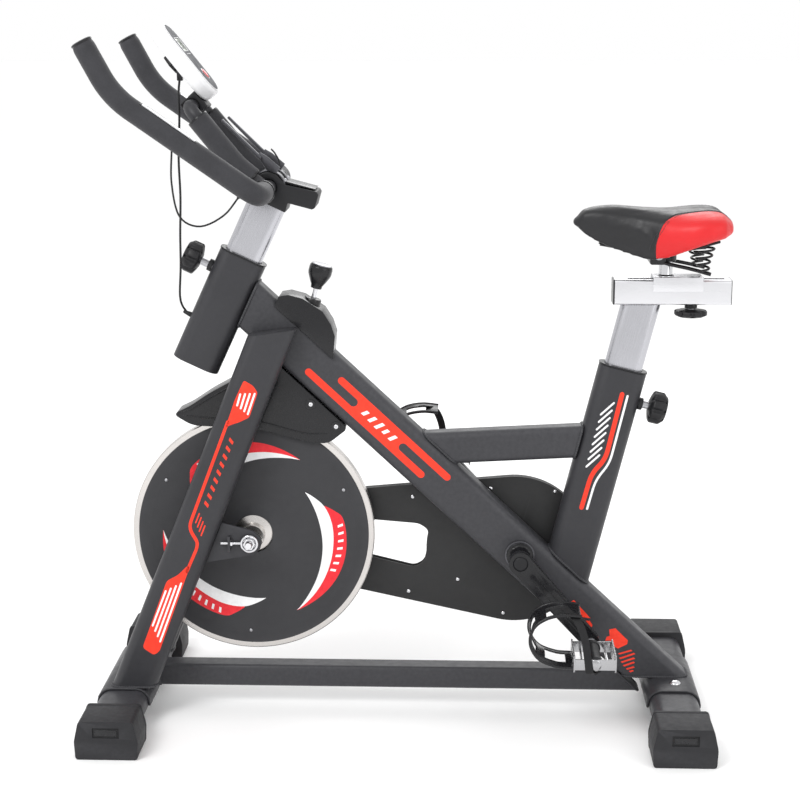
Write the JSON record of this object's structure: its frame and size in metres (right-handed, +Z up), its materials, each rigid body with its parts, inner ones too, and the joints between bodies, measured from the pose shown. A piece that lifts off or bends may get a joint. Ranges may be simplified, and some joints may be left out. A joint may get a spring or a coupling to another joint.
{
  "type": "indoor spin bike",
  "caption": "Indoor exercise bike: forked steel frame with weighted flywheel, belt drive, push brake, height-adjustable handlebars with monitor, and a sliding saddle.",
  "frame": {"origin": "on the floor under the middle of the bike's overall box", "axes": "+X to the rear of the bike (saddle), +Y to the rider's right (belt side), +Z up"},
  "size_m": [1.031, 0.5, 1.1254],
  "materials": {
    "main_tube": "satin powder coat",
    "head_tube": "satin powder coat",
    "seat_tube": "satin powder coat",
    "top_tube": "satin powder coat",
    "bottom_tube": "satin powder coat",
    "fork_leg_left": "satin powder coat",
    "fork_leg_right": "satin powder coat",
    "front_cradle": "satin powder coat",
    "rear_cradle": "satin powder coat",
    "front_stabilizer": "satin powder coat",
    "rear_stabilizer": "satin powder coat",
    "front_foot_left": "matte",
    "front_foot_right": "matte",
    "rear_foot_left": "matte",
    "rear_foot_right": "matte",
    "bb_shell": "black",
    "axle_plate_left": "satin powder coat",
    "axle_plate_right": "satin powder coat",
    "flywheel_axle": "brushed",
    "fender": "smooth",
    "brake_shroud": "smooth",
    "brake_collar": "textured",
    "belt_guard_inner": "smooth",
    "belt_guard_outer": "smooth",
    "drive_belt": "matte",
    "flywheel": "turned and plated rim",
    "flywheel_cover_left": "smooth",
    "flywheel_cover_right": "smooth",
    "flywheel_pulley": "brushed",
    "crank_spindle": "brushed",
    "crank_pulley": "textured",
    "crank_left": "black",
    "crank_right": "black",
    "pedal_left": "brushed",
    "toe_clip_left": "textured",
    "pedal_right": "brushed",
    "toe_clip_right": "textured",
    "brake_rod": "brushed",
    "brake_knob": "textured",
    "brake_pad": "matte",
    "handlebar_post": "polished",
    "handlebar_clamp": "black",
    "handlebar": "black",
    "grip_left": "foam",
    "grip_right": "foam",
    "monitor_bracket": "textured",
    "monitor_shell": "white",
    "monitor_face": "dark",
    "sensor_cable": "textured",
    "pulse_cable": "textured",
    "monitor_button": "red",
    "head_knob": "textured",
    "seat_knob": "textured",
    "seat_post": "polished",
    "seat_carriage": "brushed",
    "rail_knob": "textured",
    "saddle_clamp": "polished",
    "saddle_shell": "textured",
    "saddle_cushion": "vinyl cover, black with red rear",
    "saddle_springs": "black"
  },
  "bodies": {
    "frame": {"main_tube": "main_tube", "head_tube": "head_tube", "seat_tube": "seat_tube", "top_tube": "top_tube", "bottom_tube": "bottom_tube", "fork_leg_left": "fork_leg_left", "fork_leg_right": "fork_leg_right", "front_cradle": "front_cradle", "rear_cradle": "rear_cradle", "front_stabilizer": "front_stabilizer", "rear_stabilizer": "rear_stabilizer", "front_foot_left": "front_foot_left", "front_foot_right": "front_foot_right", "rear_foot_left": "rear_foot_left", "rear_foot_right": "rear_foot_right", "bb_shell": "bb_shell", "axle_plate_left": "axle_plate_left", "axle_plate_right": "axle_plate_right", "flywheel_axle": "flywheel_axle", "fender": "fender", "brake_shroud": "brake_shroud", "brake_collar": "brake_collar", "belt_guard_inner": "belt_guard_inner", "belt_guard_outer": "belt_guard_outer", "drive_belt": "drive_belt"},
    "flywheel": {"flywheel": "flywheel", "flywheel_cover_left": "flywheel_cover_left", "flywheel_cover_right": "flywheel_cover_right", "flywheel_pulley": "flywheel_pulley"},
    "cranks": {"crank_spindle": "crank_spindle", "crank_pulley": "crank_pulley", "crank_left": "crank_left", "crank_right": "crank_right"},
    "left_pedal": {"pedal_left": "pedal_left", "toe_clip_left": "toe_clip_left"},
    "right_pedal": {"pedal_right": "pedal_right", "toe_clip_right": "toe_clip_right"},
    "brake_stem": {"brake_rod": "brake_rod"},
    "brake_turn_knob": {"brake_knob": "brake_knob"},
    "brake_shoe": {"brake_pad": "brake_pad"},
    "handlebars": {"handlebar_post": "handlebar_post", "handlebar_clamp": "handlebar_clamp", "handlebar": "handlebar", "grip_left": "grip_left", "grip_right": "grip_right", "monitor_bracket": "monitor_bracket", "monitor_shell": "monitor_shell", "monitor_face": "monitor_face", "sensor_cable": "sensor_cable", "pulse_cable": "pulse_cable"},
    "button": {"monitor_button": "monitor_button"},
    "head_clamp_knob": {"head_knob": "head_knob"},
    "seat_clamp_knob": {"seat_knob": "seat_knob"},
    "seat_mast": {"seat_post": "seat_post"},
    "seat_slider": {"seat_carriage": "seat_carriage"},
    "slider_knob": {"rail_knob": "rail_knob"},
    "saddle": {"saddle_clamp": "saddle_clamp", "saddle_shell": "saddle_shell", "saddle_cushion": "saddle_cushion", "saddle_springs": "saddle_springs"}
  },
  "joints": [
    {"name": "flywheel_spin", "type": "hinge", "parent": "frame", "child": "flywheel", "pos_m": [-0.256, 0, 0.3], "axis": [0, 1, 0], "continuous": true},
    {"name": "crank_spin", "type": "hinge", "parent": "frame", "child": "cranks", "pos_m": [0.185, 0, 0.272], "axis": [0, 1, 0], "continuous": true},
    {"name": "left_pedal_spin", "type": "hinge", "parent": "cranks", "child": "left_pedal", "pos_m": [0.30096, -0.1395, 0.14093], "axis": [0, 1, 0], "continuous": true},
    {"name": "right_pedal_spin", "type": "hinge", "parent": "cranks", "child": "right_pedal", "pos_m": [0.06904, 0.1395, 0.40307], "axis": [0, 1, 0], "continuous": true},
    {"name": "brake_press", "type": "slide", "parent": "frame", "child": "brake_stem", "axis": [-0.2554, 0, -0.9668], "range_m": [0, 0.0022], "stiffness_N_per_m": 2500, "springref_m": -0.004},
    {"name": "brake_turn", "type": "hinge", "parent": "brake_stem", "child": "brake_turn_knob", "pos_m": [-0.14362, 0, 0.72541], "axis": [0.2554, 0, 0.9668], "range_deg": [0, 540]},
    {"name": "brake_shoe_feed", "type": "slide", "parent": "brake_stem", "child": "brake_shoe", "axis": [-0.2554, 0, -0.9668], "range_m": [0, 0.00221]},
    {"name": "handlebar_height", "type": "slide", "parent": "frame", "child": "handlebars", "axis": [0.4222, 0, 0.9065], "range_m": [-0.025, 0.1], "deforming": ["sensor_cable"]},
    {"name": "monitor_button_press", "type": "slide", "parent": "handlebars", "child": "button", "axis": [-0.7809, 0, -0.6247], "range_m": [0, 0.0009], "stiffness_N_per_m": 400, "springref_m": -0.001},
    {"name": "head_knob_turn", "type": "hinge", "parent": "frame", "child": "head_clamp_knob", "pos_m": [-0.31415, 0, 0.74519], "axis": [-0.9065, 0, 0.4222], "range_deg": [0, 720]},
    {"name": "seat_knob_turn", "type": "hinge", "parent": "frame", "child": "seat_clamp_knob", "pos_m": [0.37395, 0, 0.52304], "axis": [0.9713, 0, -0.2379], "range_deg": [0, 720]},
    {"name": "seat_height", "type": "slide", "parent": "frame", "child": "seat_mast", "axis": [0.2379, 0, 0.9713], "range_m": [-0.05, 0.125]},
    {"name": "seat_fore_aft", "type": "slide", "parent": "seat_mast", "child": "seat_slider", "axis": [1, 0, 0], "range_m": [-0.023, 0.034]},
    {"name": "slider_knob_turn", "type": "hinge", "parent": "seat_slider", "child": "slider_knob", "pos_m": [0.454, 0, 0.6873], "axis": [0, 0, -1], "range_deg": [0, 720]},
    {"name": "saddle_swivel", "type": "hinge", "parent": "seat_slider", "child": "saddle", "pos_m": [0.412, 0, 0.767], "axis": [0, 0, 1], "range_deg": [-15, 15]}
  ],
  "couplings": [
    {"joint": "crank_spin", "follows": "flywheel_spin", "ratio": 0.35417},
    {"joint": "brake_shoe_feed", "follows": "brake_turn", "m_per_rad": 0.00023343}
  ]
}
